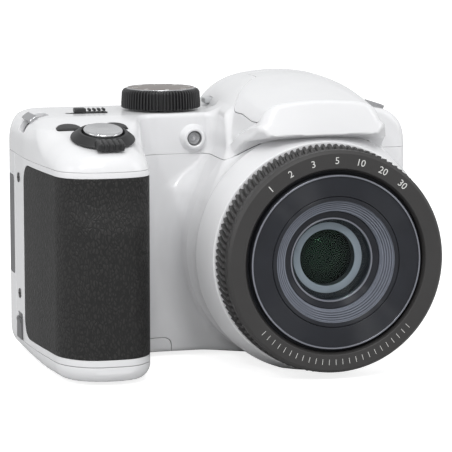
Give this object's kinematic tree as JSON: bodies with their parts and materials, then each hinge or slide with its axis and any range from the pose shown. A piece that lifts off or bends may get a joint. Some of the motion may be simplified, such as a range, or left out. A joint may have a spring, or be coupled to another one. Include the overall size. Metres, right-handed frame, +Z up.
{
  "type": "bridge camera",
  "caption": "White bridge camera with a deep grained grip, stepped zoom lens in a toothed ring, pop-up flash, mode dial, zoom lever, rear screen and battery door.",
  "frame": {"origin": "mouth of the tripod socket on the base, under the lens axis", "axes": "+Z up, the lens looks along -Y, the grip is at -X, seen from the front it is on the left"},
  "size_m": [0.1152, 0.0771, 0.0815],
  "materials": {
    "white_shell": "glossy white moulded plastic",
    "skin": "grained dark leatherette",
    "dark_ring": "satin dark grey plastic",
    "lens_black": "satin blue-black paint",
    "baffle_grey": "matt grey",
    "coated_glass": "coated optical glass",
    "dark_plastic": "satin black plastic",
    "dial_top": "dark brown-grey with white marks",
    "silver": "brushed silver",
    "steel": "bare steel",
    "screw_black": "blackened screws",
    "grey_plastic": "mid grey plastic",
    "port_rubber": "mid grey soft cover",
    "lamp": "clear lens over a pale reflector",
    "diffuser": "ribbed clear diffuser",
    "screen_glass": "black glossy window",
    "key_grey": "pale grey keys",
    "key_red": "red key",
    "board": "green circuit board",
    "inner_metal": "plain metal cans",
    "cell": "plain printed cell jacket",
    "capacitor": "dark blue sleeve",
    "contact": "plated contact strips"
  },
  "bodies": {
    "camera": {"front_cover": "white_shell", "rear_cover": "white_shell", "top_cover": "white_shell", "grip_skin": "skin", "lens_ring": "dark_ring", "lens_barrel": "lens_black", "sensor_board": "board", "zoom_motor": "steel", "main_board": "board", "chassis": "steel", "battery_bay": "dark_plastic", "battery_cells": "cell", "battery_springs": "steel", "flash_well": "dark_plastic", "flash_capacitor": "capacitor", "screen_module": "inner_metal", "screen_window": "screen_glass", "strap_lugs": "steel", "focus_lamp": "lamp", "microphone": "dark_plastic", "tripod_socket": "steel", "side_screws": "screw_black", "base_screws": "screw_black", "flash_hinge_pin": "steel", "door_hinge_pin": "steel", "key_board": "board", "port_block": "inner_metal"},
    "zoom_stage": {"zoom_tube": "lens_black"},
    "lens_stage": {"front_tube": "lens_black", "front_baffle": "baffle_grey", "lens_retainer": "baffle_grey", "front_glass": "coated_glass", "rear_lens": "coated_glass"},
    "dial": {"mode_dial": "dark_plastic", "dial_cap": "dial_top"},
    "lever": {"zoom_lever": "dark_plastic"},
    "shutter": {"shutter_button": "silver"},
    "left_button": {"top_button_left": "dark_plastic"},
    "right_button": {"top_button_right": "dark_plastic"},
    "switch": {"power_switch": "dark_plastic"},
    "lid": {"flash_lid": "white_shell", "flash_head": "dark_plastic", "flash_window": "diffuser"},
    "release": {"flash_release": "grey_plastic"},
    "door": {"battery_door": "white_shell", "door_contacts": "contact"},
    "latch": {"battery_latch": "grey_plastic"},
    "port_door": {"port_cover": "port_rubber"},
    "record_key": {"record_button": "key_red"},
    "menu_key": {"menu_button": "key_grey"},
    "play_key": {"play_button": "key_grey"},
    "delete_key": {"delete_button": "key_grey"},
    "pad": {"four_way_pad": "key_grey"},
    "set_key": {"set_button": "key_grey"}
  },
  "joints": [
    {"name": "zoom_slide", "type": "slide", "parent": "camera", "child": "zoom_stage", "axis": [0, -1, 0], "range_m": [0, 0.022]},
    {"name": "front_slide", "type": "slide", "parent": "zoom_stage", "child": "lens_stage", "axis": [0, -1, 0], "range_m": [0, 0.016]},
    {"name": "dial_turn", "type": "hinge", "parent": "camera", "child": "dial", "pos_m": [-0.036, 0, 0.0715], "axis": [0, 0, 1], "continuous": true},
    {"name": "lever_turn", "type": "hinge", "parent": "camera", "child": "lever", "pos_m": [-0.061, -0.034, 0.06642], "axis": [0, -0.225, 0.9744], "range_deg": [-18, 18], "stiffness_Nm_per_rad": 0.06},
    {"name": "shutter_press", "type": "slide", "parent": "camera", "child": "shutter", "axis": [0, 0.225, -0.9744], "range_m": [0, 0.0008], "stiffness_N_per_m": 1500},
    {"name": "left_button_press", "type": "slide", "parent": "camera", "child": "left_button", "axis": [0, 0.225, -0.9744], "range_m": [0, 0.0005], "stiffness_N_per_m": 2400},
    {"name": "right_button_press", "type": "slide", "parent": "camera", "child": "right_button", "axis": [0, 0.225, -0.9744], "range_m": [0, 0.0005], "stiffness_N_per_m": 2400},
    {"name": "switch_slide", "type": "slide", "parent": "camera", "child": "switch", "axis": [-1, 0, 0], "range_m": [0, 0.0024], "stiffness_N_per_m": 500},
    {"name": "lid_raise", "type": "hinge", "parent": "camera", "child": "lid", "pos_m": [0, 0.001, 0.0797], "axis": [-1, 0, 0], "range_deg": [0, 45]},
    {"name": "release_press", "type": "slide", "parent": "camera", "child": "release", "axis": [1, 0, 0], "range_m": [0, 0.001], "stiffness_N_per_m": 1200},
    {"name": "door_swing", "type": "hinge", "parent": "camera", "child": "door", "pos_m": [-0.037, -0.0041, 0.001], "axis": [0, -1, 0], "range_deg": [0, 100]},
    {"name": "latch_slide", "type": "slide", "parent": "camera", "child": "latch", "axis": [0, 0, 1], "range_m": [0, 0.0012], "stiffness_N_per_m": 1000},
    {"name": "port_door_swing", "type": "hinge", "parent": "camera", "child": "port_door", "pos_m": [-0.0795, 0.0056, 0.0375], "axis": [0, 0, 1], "range_deg": [0, 100]},
    {"name": "record_press", "type": "slide", "parent": "camera", "child": "record_key", "axis": [0, -1, 0], "range_m": [0, 0.0005], "stiffness_N_per_m": 2400},
    {"name": "menu_press", "type": "slide", "parent": "camera", "child": "menu_key", "axis": [0, -1, 0], "range_m": [0, 0.0005], "stiffness_N_per_m": 2400},
    {"name": "play_press", "type": "slide", "parent": "camera", "child": "play_key", "axis": [0, -1, 0], "range_m": [0, 0.0005], "stiffness_N_per_m": 2400},
    {"name": "delete_press", "type": "slide", "parent": "camera", "child": "delete_key", "axis": [0, -1, 0], "range_m": [0, 0.0005], "stiffness_N_per_m": 2400},
    {"name": "pad_press", "type": "slide", "parent": "camera", "child": "pad", "axis": [0, -1, 0], "range_m": [0, 0.0005], "stiffness_N_per_m": 2400},
    {"name": "set_press", "type": "slide", "parent": "camera", "child": "set_key", "axis": [0, -1, 0], "range_m": [0, 0.0005], "stiffness_N_per_m": 2400}
  ],
  "couplings": [
    {"joint": "front_slide", "follows": "zoom_slide", "ratio": 0.72727}
  ]
}
